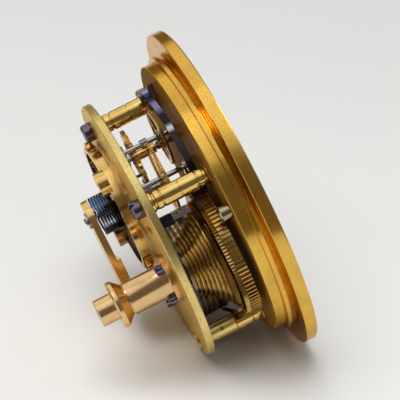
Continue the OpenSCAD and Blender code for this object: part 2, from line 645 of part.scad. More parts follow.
// A tapered hand that lies along angle a, with a boss and a bore
module hand(a, l, w, boss, bore, z0, z1) difference() {
    union() {
        translate([0, 0, z0]) linear_extrude(z1 - z0) rotate(a) {
            polygon([[0, -w / 2], [l * 0.62, -w / 3], [l * 0.7, -w], [l * 0.78, -w / 4],
                [l, -0.15], [l, 0.15], [l * 0.78, w / 4], [l * 0.7, w], [l * 0.62, w / 3],
                [0, w / 2]]);
            translate([-l * 0.22, -w / 3]) square([l * 0.3, w / 1.5]);
        }
        disc(boss, z0, z1);
    }
    disc(bore, z0 - 1, z1 + 1);
}
twelve = fourth_at[0] + 180;
module hour_hand() lying() color("royalblue") at(centre_p)
    hand(twelve + 305, hour_hand_l, 1.5, 2.9, 1.9, -10.8, -10.4);
module minute_hand() lying() color("royalblue") at(centre_p)
    hand(twelve + 60, minute_hand_l, 1.2, 2.2, 0.8, -12.1, -11.6);
module seconds_hand() lying() color("royalblue") at(fourth_p)
    hand(twelve + 225, 8, 0.5, 1.0, 0.55, -10.2, -9.9);
module updown_hand() lying() color("royalblue") at(updown_p)
    hand(twelve + 150, 7, 0.6, 1.1, 0.6, -10.2, -9.9);
module updown_idler() lying() color("goldenrod") at(idler_p) {
    train_wheel(36, updown_module, toward(idler_p, fusee_p), 4, 2.2, 1.0 + running_gap,
        -5.2, -4.4);
    pinion(large_leaves, updown_module, toward(idler_p, updown_p) + 15, 1.0 + running_gap,
        -7.2, -5.1);
}
module updown_wheel() lying() color("goldenrod") at(updown_p) {
    train_wheel(36, updown_module, toward(updown_p, idler_p), 4, 2.2, 0.6, -7.0, -6.2);
    disc(0.6, -10.3, -0.4);
}

dial_flange();
pillar_plate();
top_plate();
pillars();
pillar_screws();
flange_screws();
dial();
dial_screws();
winding_post();
winding_post_screws();
great_wheel();
maintaining_ratchet();
maintaining_spring();
winding_clicks();
fusee_cone();
fusee_arbor();
winding_ratchet();
maintaining_detent();
detent_block();
stop_block();
stop_lever();
drilled_post();
barrel_drum();
barrel_cap();
barrel_arbor();
mainspring();
chain_coils();
chain_run();
setup_ratchet();
setup_click();
centre_wheel();
centre_arbor();
cannon_pinion();
third_wheel();
third_arbor();
fourth_wheel();
fourth_arbor();
escape_wheel();
escape_arbor();
escapement_detent();
detent_foot();
potence();
balance_cock();
cock_screw();
cock_jewel();
spring_stud();
balance_staff();
balance_rim();
balance_weights();
balance_screws();
balance_spring();
minute_wheel();
hour_wheel();
hour_hand();
minute_hand();
seconds_hand();
updown_idler();
updown_wheel();
updown_hand();
plate_screws();
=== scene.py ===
# Looks for a marine chronometer movement that lies on its two rims.
# Shapes are written in the movement's own frame, in millimetres: +Z out of the back,
# z = 0 on the inner face of the pillar plate. ROW turns them into the row frame, in metres.
import json
import math

import bmesh
import bpy
import numpy as np
from mathutils import Matrix, Vector


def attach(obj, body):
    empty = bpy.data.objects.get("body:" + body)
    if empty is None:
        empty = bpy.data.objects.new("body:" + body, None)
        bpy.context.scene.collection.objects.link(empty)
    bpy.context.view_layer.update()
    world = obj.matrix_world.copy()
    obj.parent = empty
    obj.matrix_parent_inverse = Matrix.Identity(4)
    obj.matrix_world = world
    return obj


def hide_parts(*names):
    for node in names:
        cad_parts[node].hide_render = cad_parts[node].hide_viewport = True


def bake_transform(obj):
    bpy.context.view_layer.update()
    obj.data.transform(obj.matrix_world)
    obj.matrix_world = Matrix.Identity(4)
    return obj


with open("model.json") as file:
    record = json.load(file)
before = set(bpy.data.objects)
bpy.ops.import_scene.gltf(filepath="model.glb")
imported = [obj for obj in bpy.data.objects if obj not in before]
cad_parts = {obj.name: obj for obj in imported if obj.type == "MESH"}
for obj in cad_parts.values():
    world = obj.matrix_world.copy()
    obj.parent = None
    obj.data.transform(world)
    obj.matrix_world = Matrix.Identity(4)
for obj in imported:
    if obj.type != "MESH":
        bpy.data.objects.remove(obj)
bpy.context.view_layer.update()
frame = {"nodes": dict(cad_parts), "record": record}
NODES = frame["nodes"]

# ---------------------------------------------------------------- the movement's frame
LIE_TILT = math.radians(20.25)
LIE_ROLL = math.radians(56.3)
ORIGIN = Vector((8.0867, 0.0, 46.6573))  # millimetres, in the row frame


def movement_axes():
    """The movement's X, Y and Z directions in the row frame, as a 3 x 3 matrix."""
    k = math.pi / 2 - LIE_ROLL
    s, c = math.sin(LIE_TILT), math.cos(LIE_TILT)
    lying = Matrix(((0, -s, -c), (-1, 0, 0), (0, c, -s)))
    turn = Matrix(((math.cos(k), -math.sin(k), 0), (math.sin(k), math.cos(k), 0), (0, 0, 1)))
    return lying @ turn


AXES = movement_axes()
ROW = Matrix.Translation(ORIGIN / 1000) @ (AXES.to_4x4() @ Matrix.Scale(0.001, 4))


def polar(degrees, r):
    """The point (x, y) at a direction and a distance from the movement's centre."""
    return np.array((r * math.cos(math.radians(degrees)), r * math.sin(math.radians(degrees))))


def meet(p, rp, q, rq):
    """The crossing of two circles that lies to the left of the line from p to q."""
    d = np.linalg.norm(q - p)
    u = (q - p) / d
    s = (d * d + rp * rp - rq * rq) / (2 * d)
    return p + u * s + np.array((-u[1], u[0])) * math.sqrt(rp * rp - s * s)


# Centres of the arbors, as in the CAD
CENTRE = np.zeros(2)
FUSEE = polar(-42.5, 22.95)
BARREL = polar(-141, 25)
FOURTH = polar(77.5, 24)
THIRD = meet(FOURTH, 12.6, CENTRE, 15.3)
ESCAPE = FOURTH + polar(190.8, 10.35)
STAFF = np.array((-11.8, 10.5))
TWELVE = 257.5  # direction of the dial's 12 o'clock, degrees
UPDOWN = polar(TWELVE, 23)
BACK_Z = 21.65  # the top plate's back
DIAL_Z = -9.75  # the dial's face


# ---------------------------------------------------------------- mesh helpers
def put_in_scene(name, data):
    """A new object in the scene's own collection."""
    obj = bpy.data.objects.new(name, data)
    bpy.context.scene.collection.objects.link(obj)
    return obj


def smooth(obj, angle):
    """Smooth shading with sharp edges above an angle, in degrees."""
    me = obj.data
    me.polygons.foreach_set("use_smooth", [True] * len(me.polygons))
    me.set_sharp_from_angle(angle=math.radians(angle))


def solid(name, shape, body, slot, finish, *replaced, angle=35):
    """A new piece from a shape's points, in the movement's frame and in mm, and its faces."""
    points, faces = shape
    me = bpy.data.meshes.new(name)
    m = np.array(ROW)
    co = np.asarray(points, float) @ m[:3, :3].T + m[:3, 3]
    me.from_pydata(co.tolist(), [], [list(map(int, f)) for f in faces])
    me.validate()
    shell = bmesh.new()
    shell.from_mesh(me)
    bmesh.ops.recalc_face_normals(shell, faces=shell.faces)
    shell.to_mesh(me)
    shell.free()
    obj = put_in_scene(name, me)
    smooth(obj, angle)
    if body:
        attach(obj, body)
    if replaced:
        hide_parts(*replaced)
    me.materials.append(FINISH[finish])
    return obj


def merge(parts):
    """One shape from several: a shape is its points and its faces."""
    points, faces = [], []
    for p, f in parts:
        base = len(points)
        points.extend(p)
        faces.extend([[i + base for i in face] for face in f])
    return points, faces


def around(rings, centre):
    """A turned body: one closed loop of (r, z) for each step round an axis along Z."""
    steps, n = len(rings), len(rings[0])
    points, faces = [], []
    for i, ring in enumerate(rings):
        a = 2 * math.pi * i / steps
        points += [(centre[0] + r * math.cos(a), centre[1] + r * math.sin(a), z) for r, z in ring]
        j = (i + 1) % steps
        faces += [(i * n + k, j * n + k, j * n + (k + 1) % n, i * n + (k + 1) % n)
                  for k in range(n)]
    return points, faces


def lathe(profile, centre, steps):
    """A turned body about an axis along Z: profile is a closed loop of (r, z)."""
    return around([profile] * steps, centre)


def skin(rings, n):
    """The faces that close a row of rings, n points in each, with a cap at either end."""
    faces = [(i * n + k, i * n + (k + 1) % n, (i + 1) * n + (k + 1) % n, (i + 1) * n + k)
             for i in range(rings - 1) for k in range(n)]
    faces.append(tuple(range(n))[::-1])
    faces.append(tuple((rings - 1) * n + k for k in range(n)))
    return faces


def prism(outline, z0, z1, bevel=0.0):
    """A flat piece from an outline of (x, y), with its edge at z1 drawn in by bevel."""
    pts = np.asarray(outline, float)
    rings = [(pts, z0), (pts, z1)]
    if bevel:
        away = pts - pts.mean(0)
        size = np.linalg.norm(away, axis=1, keepdims=True)
        step = math.copysign(bevel, z1 - z0)
        rings = [(pts, z0), (pts, z1 - step), (pts - away / size * bevel, z1)]
    points = [(x, y, z) for ring, z in rings for x, y in ring]
    return points, skin(len(rings), len(pts))


def sweep(path, sides, section):
    """A section of (u, v) carried along path; sides gives the u and v directions at each point."""
    points = []
    for p, (u, v) in zip(path, sides):
        points += [tuple(np.asarray(p) + a * np.asarray(u) + b * np.asarray(v)) for a, b in section]
    return points, skin(len(path), len(section))


def chamfered(w, h, e):
    """The section of a strip 2w wide and 2h high, with its corners cut by e."""
    return [(-w, -h + e), (-w + e, -h), (w - e, -h), (w, -h + e),
            (w, h - e), (w - e, h), (-w + e, h), (-w, h - e)]


# ---------------------------------------------------------------- materials
def new_material(name):
    """An empty material, its node tree and its Principled shader."""
    mat = bpy.data.materials.new(name)
    mat.use_nodes = True
    return mat, mat.node_tree, mat.node_tree.nodes["Principled BSDF"]


def feed(nt, socket, value):
    """Sets a socket to a number or a colour, or links it to another node's output."""
    if hasattr(value, "is_output"):
        nt.links.new(value, socket)
    elif isinstance(value, tuple):
        socket.default_value = (*value, 1)
    else:
        socket.default_value = value


def arithmetic(nt, operation, *values):
    """A Math node on numbers or on other nodes' outputs."""
    m = nt.nodes.new("ShaderNodeMath")
    m.operation = operation
    for socket, value in zip(m.inputs, values):
        feed(nt, socket, value)
    return m.outputs[0]


def movement_point(nt, centre):
    """Coordinates about an axis of the movement, in mm: the vector, r, z and the angle."""
    links = nt.links
    place = nt.nodes.new("ShaderNodeTexCoord")
    turn = nt.nodes.new("ShaderNodeMapping")
    back = AXES.transposed()
    shift = back @ ORIGIN + Vector((centre[0], centre[1], 0))
    turn.inputs["Location"].default_value = -shift
    turn.inputs["Rotation"].default_value = back.to_euler()
    turn.inputs["Scale"].default_value = (1000, 1000, 1000)
    links.new(place.outputs["Object"], turn.inputs["Vector"])
    flat = nt.nodes.new("ShaderNodeVectorMath")
    flat.operation = "MULTIPLY"
    flat.inputs[1].default_value = (1, 1, 0)
    links.new(turn.outputs["Vector"], flat.inputs[0])
    length = nt.nodes.new("ShaderNodeVectorMath")
    length.operation = "LENGTH"
    links.new(flat.outputs["Vector"], length.inputs[0])
    split = nt.nodes.new("ShaderNodeSeparateXYZ")
    links.new(turn.outputs["Vector"], split.inputs[0])
    angle = arithmetic(nt, "ARCTAN2", split.outputs["Y"], split.outputs["X"])
    return turn.outputs["Vector"], length.outputs["Value"], split.outputs["Z"], angle


def noise(nt, vector, scale, detail=3.0, rough=0.55):
    """Noise of a scale: per millimetre on the movement, and per metre on the table."""
    n = nt.nodes.new("ShaderNodeTexNoise")
    n.inputs["Scale"].default_value = scale
    n.inputs["Detail"].default_value = detail
    n.inputs["Roughness"].default_value = rough
    nt.links.new(vector, n.inputs["Vector"])
    return n.outputs["Fac"]


def spread(nt, value, low, high, out_low, out_high):
    """value between low and high, mapped to between out_low and out_high."""
    m = nt.nodes.new("ShaderNodeMapRange")
    for key, v in (("From Min", low), ("From Max", high), ("To Min", out_low), ("To Max", out_high)):
        m.inputs[key].default_value = v
    nt.links.new(value, m.inputs["Value"])
    return m.outputs["Result"]


def blend_colours(nt, factor, a, b):
    """Colour a where factor is 0 and b where it is 1."""
    m = nt.nodes.new("ShaderNodeMix")
    m.data_type = "RGBA"
    feed(nt, m.inputs["A"], a)
    feed(nt, m.inputs["B"], b)
    nt.links.new(factor, m.inputs["Factor"])
    return m.outputs["Result"]


def relief(nt, height, depth, strength, normal=None):
    """A bump of a depth in micrometres, on top of another normal if there is one."""
    bump = nt.nodes.new("ShaderNodeBump")
    bump.inputs["Strength"].default_value = strength
    bump.inputs["Distance"].default_value = depth * 1e-6
    nt.links.new(height, bump.inputs["Height"])
    if normal:
        nt.links.new(normal, bump.inputs["Normal"])
    return bump.outputs["Normal"]


def tool_lines(nt, r, z, angle):
    """Noise drawn out into rings about an axis, as a lathe tool leaves them."""
    rings = nt.nodes.new("ShaderNodeCombineXYZ")
    nt.links.new(r, rings.inputs["X"])
    nt.links.new(z, rings.inputs["Y"])
    nt.links.new(arithmetic(nt, "MULTIPLY", angle, 0.5), rings.inputs["Z"])
    return noise(nt, rings.outputs["Vector"], 9.0, detail=5.0, rough=0.7)


def toned(nt, point, colour, deep, patina, specks):
    """Clean metal with clouds of its toned colour and, if asked for, small dark marks."""
    cloud = noise(nt, point, 0.11, detail=4.0, rough=0.6)
    shade = blend_colours(nt, spread(nt, cloud, 0.42, 0.68, 0.0, patina), colour, deep)
    if specks:
        dots = noise(nt, point, 2.6, detail=2.0, rough=0.5)
        marks = spread(nt, dots, 0.66 - 0.1 * specks, 0.72, 0.0, 0.85)
        shade = blend_colours(nt, marks, shade, tuple(c * 0.3 for c in deep))
    return shade


def softened_edges(nt, radius):
    """A normal that is rounded over the piece's edges, by a radius in millimetres."""
    round_edges = nt.nodes.new("ShaderNodeBevel")
    round_edges.samples = 4
    round_edges.inputs["Radius"].default_value = radius / 1000
    return round_edges.outputs["Normal"]


def metal(name, colour, deep, rough, centre=(0, 0), turned=1.0, lines=0.25, grain=0.0,
          specks=0.0, edge=0.12, coat=0.0, patina=0.5, graze=0.45):
    """A metal with a turned or grained finish about an axis of the movement.

    colour and deep: clean metal and its toned places. rough: roughness. turned: depth of the
    tool lines, micrometres. lines: how much they vary the roughness. grain: depth of the sand
    grain, micrometres. specks: share of small dark marks. edge: radius of the edges, mm.
    coat: weight of the lacquer. patina: how far the toned places go towards deep.
    graze: how bright the metal is where it is seen at a low angle.
    """
    mat, nt, bsdf = new_material(name)
    bsdf.inputs["Metallic"].default_value = 1.0
    bsdf.inputs["Specular Tint"].default_value = (*[graze + 0.5 * c for c in colour], 1)
    if coat:
        bsdf.inputs["Coat Weight"].default_value = coat
        bsdf.inputs["Coat Roughness"].default_value = 0.06
    point, r, z, angle = movement_point(nt, centre)
    tool = tool_lines(nt, r, z, angle)
    fine = noise(nt, point, 5.0, detail=4.0, rough=0.65)
    nt.links.new(toned(nt, point, colour, deep, patina, specks), bsdf.inputs["Base Color"])
    uneven = spread(nt, fine, 0.3, 0.7, -0.5 * lines, 0.3 * lines)
    mixed = arithmetic(nt, "MULTIPLY_ADD", tool, lines, uneven)
    nt.links.new(spread(nt, mixed, -0.5, 1.0, rough * 0.45, rough * 1.7),
                 bsdf.inputs["Roughness"])
    normal = softened_edges(nt, edge)
    for height, depth in ((tool, turned), (fine, grain)):
        if depth:
            normal = relief(nt, height, depth, 0.6, normal)
    nt.links.new(normal, bsdf.inputs["Normal"])
    return mat


YELLOW = (0.80, 0.48, 0.085)
OLD_GOLD = (0.54, 0.33, 0.065)
PALE = (0.86, 0.69, 0.25)
STEEL = (0.50, 0.48, 0.46)
GREY_STEEL = (0.20, 0.19, 0.19)
BLUE = (0.040, 0.055, 0.150)
VIOLET = (0.060, 0.035, 0.085)

FINISH = {
    "rim": metal("lacquered_brass", YELLOW, OLD_GOLD, 0.16, turned=2.0, lines=0.5, specks=0.25,
                 edge=0.15, coat=0.15),
    "bare": metal("bare_brass", YELLOW, OLD_GOLD, 0.16, turned=2.0, lines=0.5, specks=0.25,
                  edge=0.15),
    "plate": metal("grained_plate", PALE, (0.56, 0.42, 0.18), 0.36, turned=1.0, grain=5.0,
                   specks=0.8, edge=0.12),
    "train": metal("train_brass", (0.84, 0.58, 0.22), OLD_GOLD, 0.17, turned=1.5, edge=0.05),
    "great": metal("great_wheel_brass", (0.62, 0.43, 0.15), (0.34, 0.21, 0.06), 0.20, FUSEE,
                   turned=1.5, edge=0.05, patina=0.7),
    "fusee": metal("toned_brass", (0.66, 0.50, 0.24), (0.30, 0.20, 0.08), 0.22, FUSEE,
                   turned=3.0, lines=0.5, edge=0.05, patina=0.8),
    "barrel": metal("barrel_brass", YELLOW, OLD_GOLD, 0.20, BARREL, turned=2.5, lines=0.4,
                    edge=0.1),
    "pillar": metal("pillar_brass", (0.84, 0.61, 0.21), OLD_GOLD, 0.11, turned=1.0, edge=0.1),
    "balance": metal("balance_brass", (0.86, 0.58, 0.22), OLD_GOLD, 0.15, STAFF, turned=1.5,
                     edge=0.08),
    "post": metal("rosy_bronze", (0.80, 0.54, 0.27), (0.54, 0.32, 0.15), 0.18, FUSEE,
                  turned=3.0, lines=0.5, edge=0.1),
    "blued": metal("blued_steel", BLUE, VIOLET, 0.16, turned=0.5, edge=0.08, patina=0.9),
    "brown": metal("brown_steel", (0.030, 0.024, 0.026), (0.022, 0.017, 0.015), 0.12,
                   turned=0.5, edge=0.08, graze=0.2),
    "screws": metal("blued_screws", (0.12, 0.12, 0.20), (0.17, 0.12, 0.13), 0.10,
                    turned=0.5, edge=0.12, coat=0.5, patina=1.0),
    "bright": metal("warm_steel", (0.42, 0.33, 0.22), (0.26, 0.20, 0.13), 0.12, turned=0.8,
                    edge=0.1, patina=0.8),
    "steel": metal("polished_steel", STEEL, (0.42, 0.41, 0.40), 0.10, turned=0.6, edge=0.05),
    "dark": metal("oiled_steel", GREY_STEEL, (0.09, 0.08, 0.08), 0.26, turned=1.0, grain=2.0,
                  edge=0.05),
    "strip": metal("spring_strip", (0.16, 0.20, 0.30), (0.10, 0.08, 0.10), 0.22, BARREL,
                   turned=1.0, edge=0.05),
}
SLOT_FINISH = {
    "polished_brass": "rim", "grained_brass": "plate", "turned_brass": "pillar",
    "train_brass": "train", "fusee_brass": "fusee", "balance_brass": "balance",
    "rose_bronze": "post", "blued_steel": "blued", "polished_steel": "steel",
    "dark_steel": "dark", "spring_steel": "strip", "silvered_dial": "dial", "ruby": "ruby",
}
OWN_FINISH = {"barrel_drum": "barrel", "barrel_cap": "barrel", "flange_screws": "bright",
              "great_wheel": "great", "maintaining_ratchet": "great",
              "winding_post_screws": "screws", "cock_screw": "screws", "dial_screws": "screws"}


def ruby():
    """Polished ruby, darker and lighter in its depth."""
    mat, nt, bsdf = new_material("ruby_jewel")
    point = movement_point(nt, STAFF)[0]
    depth = spread(nt, noise(nt, point, 0.9), 0.35, 0.65, 0.0, 1.0)
    nt.links.new(blend_colours(nt, depth, (0.42, 0.010, 0.045), (0.20, 0.004, 0.030)),
                 bsdf.inputs["Base Color"])
    nt.links.new(spread(nt, depth, 0.0, 1.0, 0.06, 0.14), bsdf.inputs["Roughness"])
    bsdf.inputs["Coat Weight"].default_value = 1.0
    bsdf.inputs["Coat Roughness"].default_value = 0.03
    return mat


def silvered():
    """The frosted silver of the dial: a fine grain, with faint clouds of tarnish."""
    mat, nt, bsdf = new_material("silvered_dial")
    bsdf.inputs["Metallic"].default_value = 0.75
    point = movement_point(nt, CENTRE)[0]
    grain = noise(nt, point, 14.0, detail=4.0, rough=0.7)
    cloud = noise(nt, point, 0.07, detail=4.0, rough=0.6)
    cloud = spread(nt, cloud, 0.38, 0.70, 0.0, 0.6)
    nt.links.new(blend_colours(nt, cloud, (0.80, 0.79, 0.75), (0.66, 0.63, 0.56)),
                 bsdf.inputs["Base Color"])
    nt.links.new(spread(nt, grain, 0.3, 0.7, 0.34, 0.50), bsdf.inputs["Roughness"])
    nt.links.new(relief(nt, grain, 6, 0.4), bsdf.inputs["Normal"])
    return mat


def black_wax():
    """The wax that fills the engraving of the dial."""
    mat, nt, bsdf = new_material("engraver_wax")
    speck = noise(nt, movement_point(nt, CENTRE)[0], 6.0)
    nt.links.new(blend_colours(nt, speck, (0.010, 0.010, 0.012), (0.030, 0.028, 0.028)),
                 bsdf.inputs["Base Color"])
    nt.links.new(spread(nt, speck, 0.3, 0.7, 0.28, 0.45), bsdf.inputs["Roughness"])
    return mat


FINISH.update(ruby=ruby(), dial=silvered(), wax=black_wax())


def two_tone(base, name, centre, measure, low, high, colour, soft=0.02, tint=None):
    """A copy of a finish, with another colour where measure (r, y or z) is low to high.

    soft: half the width of the change, mm. tint: the colour there at a low angle. Where it
    is given, only a fifth of that place is still metal, and the rest of it is matt.
    """
    mat = FINISH[base].copy()
    mat.name = name
    nt = mat.node_tree
    bsdf = nt.nodes["Principled BSDF"]
    point, r, z = movement_point(nt, centre)[:3]
    split = nt.nodes.new("ShaderNodeSeparateXYZ")
    nt.links.new(point, split.inputs[0])
    value = {"r": r, "y": split.outputs["Y"], "z": z}[measure]
    there = arithmetic(nt, "MULTIPLY", spread(nt, value, low - soft, low + soft, 0.0, 1.0),
                       spread(nt, value, high - soft, high + soft, 1.0, 0.0))
    base_colour = bsdf.inputs["Base Color"]
    first = base_colour.links[0].from_socket
    nt.links.new(blend_colours(nt, there, first, colour), base_colour)
    if tint:
        edge_tint = bsdf.inputs["Specular Tint"]
        usual = tuple(edge_tint.default_value[:3])
        nt.links.new(blend_colours(nt, there, usual, tint), edge_tint)
        nt.links.new(spread(nt, there, 0.0, 1.0, 1.0, 0.2), bsdf.inputs["Metallic"])
        bsdf.inputs["Specular IOR Level"].default_value = 0.0
    return mat


# Pieces of two colours: the balance rim is steel within and brass without, the top plate's back
# has its own tone, the pillar plate's inner face has painted shade, and the fusee's stop cap is dark
FINISH["bimetal"] = two_tone("balance", "bimetal_rim", STAFF, "r", 18.60, 19.50,
                             (0.30, 0.30, 0.31))
FINISH["back"] = two_tone("plate", "top_plate_brass", CENTRE, "z", BACK_Z - 0.12, 40.0,
                          (0.66, 0.44, 0.12))
# Painted shade: the pillar plate's inner face is dark brown and mostly matt, as in the gap's shade
FINISH["pillar_plate"] = two_tone("bare", "pillar_plate_painted_shade", CENTRE, "z", -0.12, 3.0,
                                  (0.38, 0.18, 0.035), tint=(0.17, 0.110, 0.045))
FINISH["cap"] = two_tone("steel", "stop_cap_steel", FUSEE, "r", 3.0, 20.0,
                         (0.050, 0.052, 0.085))

# Painted light: the spring's upper turns are a painted blue highlight over brown shade, and the
# detent has a pale violet painted sheen at its pivot end, dark shade below and one painted glint
# Painted highlight: blue on the turns near the cock; the brown lower turns are painted shade
FINISH["helix"] = two_tone("brown", "helix_painted_highlight", STAFF, "z", 28.6, 40.0,
                           (0.13, 0.19, 0.34), soft=2.6)
# Painted sheen: pale violet at the detent's pivot end; the dark rest is painted shade
FINISH["detent_painted_sheen"] = two_tone("brown", "detent_painted_sheen_steel", CENTRE, "y", 29.6, 60.0,
                              (0.25, 0.26, 0.42), soft=1.4)
# Painted glint: one light band across the detent
FINISH["detent"] = two_tone("detent_painted_sheen", "detent_painted_glint_steel", CENTRE, "y", 22.9, 24.1,
                            (0.60, 0.66, 0.72), soft=0.9)

# The escape wheel's collet, one pillar screw and one plate screw are brass
FINISH["collet"] = two_tone("steel", "escape_arbor_collet", ESCAPE, "z", 6.4, 13.0,
                            (0.78, 0.55, 0.20))
FINISH["tall_screws"] = two_tone("screws", "pillar_screw_heads", polar(264, 37.3), "r",
                                 -1.0, 4.0, (0.60, 0.40, 0.11))
FINISH["flat_screws"] = two_tone("screws", "plate_screw_heads", (25.7, -0.4), "r",
                                 -1.0, 3.0, (0.60, 0.40, 0.11))
OWN_FINISH.update(balance_rim="bimetal", top_plate="back", pillar_plate="pillar_plate",
                  fusee_arbor="cap", pillar_screws="tall_screws", plate_screws="flat_screws",
                  escape_arbor="collet")


def dress_cad():
    """Smooths the shading of each CAD node and gives it its finish."""
    slot_of = {s["node"]: s["material_slot"] for s in frame["record"]["subparts"]}
    for name, obj in NODES.items():
        me = obj.data
        if "custom_normal" in me.attributes:
            me.attributes.remove(me.attributes["custom_normal"])
        me.polygons.foreach_set("use_smooth", [True] * len(me.polygons))
        weld = obj.modifiers.new("weld", "WELD")
        weld.merge_threshold = 1e-6
        crease = obj.modifiers.new("crease", "EDGE_SPLIT")
        crease.split_angle = math.radians(28)
        me.materials.clear()
        me.materials.append(FINISH[OWN_FINISH.get(name) or SLOT_FINISH[slot_of[name]]])


dress_cad()


# ---------------------------------------------------------------- pieces
# The fusee: its cone along Z, its groove, and the room under it for the winding ratchet
CONE_LOW, CONE_HIGH = 7.1, 17.5
CONE_TOP_R, CONE_FOOT_R = 8.2, 17.5
FUSEE_TURNS = 8
PLAIN_RIM = 1.2  # height below the first turn of the groove
GROOVE = [0, .28, .62, .74, .75, .75, .66, .34, 0, 0]  # depth across one pitch
ROWS = len(GROOVE)
HUB_BORE = 1.78
RECESS_R, RECESS_DEPTH = 11.2, 1.3


def fusee_radius(z):
    """The cone's hollow profile."""
    u = min(1.0, max(0.0, (CONE_HIGH - z) / (CONE_HIGH - CONE_LOW)))
    return CONE_TOP_R + (CONE_FOOT_R - CONE_TOP_R) * u ** 1.35


def groove_depth(k, share):
    """Depth of the groove in row k of the profile, at a share of a turn round the cone.

    It runs in over the first pitch and runs out just below the top.
    """
    phase = (k / ROWS + share) % 1.0 * ROWS
    j = int(phase) % ROWS
    depth = GROOVE[j] + (GROOVE[(j + 1) % ROWS] - GROOVE[j]) * (phase - int(phase))
    if k < ROWS:
        depth *= max(0.0, min(1.0, k / ROWS * 2 - 0.3))
    return depth * min(1.0, (FUSEE_TURNS * ROWS - k) / ROWS * 1.2)


def spiral_fusee():
    """The fusee with one continuous groove that climbs a pitch in every turn."""
    steps = 144
    pitch = (CONE_HIGH - CONE_LOW - PLAIN_RIM) / FUSEE_TURNS
    recess = CONE_LOW + RECESS_DEPTH
    rings = []
    for i in range(steps):
        ring = [(CONE_FOOT_R - 0.3, CONE_LOW), (CONE_FOOT_R, CONE_LOW + 0.3)]
        for k in range(FUSEE_TURNS * ROWS + 1):
            z = CONE_LOW + PLAIN_RIM + pitch * k / ROWS
            ring.append((fusee_radius(z) - groove_depth(k, i / steps), z))
        ring += [(CONE_TOP_R - 0.3, CONE_HIGH), (HUB_BORE, CONE_HIGH), (HUB_BORE, recess),
                 (RECESS_R, recess), (RECESS_R, CONE_LOW)]
        rings.append(ring)
    solid("fusee_spiral", around(rings, FUSEE), "fusee", "fusee_brass", "fusee", "fusee_cone",
          angle=50)


# The chain: its links, with where their plates lie across it, its coils and its free run
LINK_PITCH = 1.15
CHAIN_T, CHAIN_H = 0.6, 1.3
PLATE_STRETCH = 1.05
OUTER_PLATES = ((-CHAIN_T / 2, -0.12), (0.12, CHAIN_T / 2))
INNER_PLATE = ((-0.1, 0.1),)
RIVET_R = 0.27
COILS, COIL_PITCH, FIRST_COIL = 6, 1.72, 7.4
WOUND_R = 16.0 + CHAIN_T / 2
RUN_Z = 8.5
RUN_FROM_R, RUN_TO_R = 17.05, 18.2


def link_outline(h):
    """A figure-of-eight side plate, h high, with its holes a pitch apart, in its own plane."""
    out = []
    for side in (0, 1):
        for i in range(9):
            a = math.radians(-70 + 140 * i / 8 + 180 * side)
            cx = LINK_PITCH * (0.5 - side)
            out.append((cx + h / 2 * math.cos(a), h / 2 * math.sin(a)))
        out.append((0, h * (0.30 if side == 0 else -0.30)))
    return out


def side_plates(station, h, layers):
    """The plates of one link, stretched a little so that links overlap."""
    c, along, up, out = station
    outline = link_outline(h)
    parts = []
    for o0, o1 in layers:
        pts = [c + along * x * PLATE_STRETCH + up * y + out * o
               for o in (o0, o1) for x, y in outline]
        parts.append((pts, skin(2, len(outline))))
    return parts


def rivet(station, share):
    """A six-sided rivet through a link, at a share of the pitch from its centre."""
    c, along, up, out = station
    q = c + along * LINK_PITCH * share
    ends = (-CHAIN_T / 2, CHAIN_T / 2)
    corners = [along * math.cos(math.pi / 3 * k) + up * math.sin(math.pi / 3 * k)
               for k in range(6)]
    points = [q + corner * RIVET_R + out * o for o in ends for corner in corners]
    points += [q + out * ends[1], q + out * ends[0]]
    faces = [(k, (k + 1) % 6, 6 + (k + 1) % 6, 6 + k) for k in range(6)]
    faces += [(6 + k, 6 + (k + 1) % 6, 12) for k in range(6)]
    faces += [((k + 1) % 6, k, 13) for k in range(6)]
    return points, faces


def chain(stations):
    """Links at the given stations: each a centre, a direction along, one up and one outward."""
    parts = []
    for i, station in enumerate(stations):
        if i % 2:
            parts += side_plates(station, CHAIN_H * 0.86, INNER_PLATE)
        else:
            parts += side_plates(station, CHAIN_H * 0.98, OUTER_PLATES)
            parts += [rivet(station, share) for share in (-0.5, 0.5)]
    return merge(parts)


def wound_chain():
    """The coils of the chain on the barrel."""
    up = np.array((0, 0, 1.0))
    links = int(2 * math.pi * WOUND_R / LINK_PITCH)
    stations = []
    for coil in range(COILS):
        height = FIRST_COIL + COIL_PITCH * coil + CHAIN_H / 2
        for k in range(links):
            a = 2 * math.pi * k / links
            out = np.array((math.cos(a), math.sin(a), 0))
            along = np.array((-math.sin(a), math.cos(a), 0))
            stations.append((np.array((*BARREL, height)) + out * WOUND_R, along, up, out))
    solid("chain_wound", chain(stations), "barrel", "dark_steel", "dark", "chain_coils")


def free_chain():
    """The straight run of the chain, from the barrel to the fusee."""
    side = math.degrees(math.atan2(*(FUSEE - BARREL)[::-1])) - 90
    p = BARREL + polar(side, RUN_FROM_R)
    q = FUSEE + polar(side, RUN_TO_R)
    run = np.array((*(q - p), 0.0))
    length = np.linalg.norm(run)
    along = run / length
    up, out = np.array((0, 0, 1.0)), np.array((along[1], -along[0], 0))
    n = int(length / LINK_PITCH) - 1
    spare = length - (n - 1) * LINK_PITCH
    start = np.array((*p, RUN_Z + CHAIN_H / 2)) + along * spare / 2
    stations = [(start + along * LINK_PITCH * k, along, up, out) for k in range(n)]
    solid("chain_free", chain(stations), "frame", "dark_steel", "dark", "chain_run")


# The balance spring: half the width and height of its strip, and its helix
STRIP_W, STRIP_H = 0.13, 0.35
SPRING_R = 6.2
SPRING_TURNS = 7
SPRING_TOP, SPRING_LOW = 31.7, 25.3


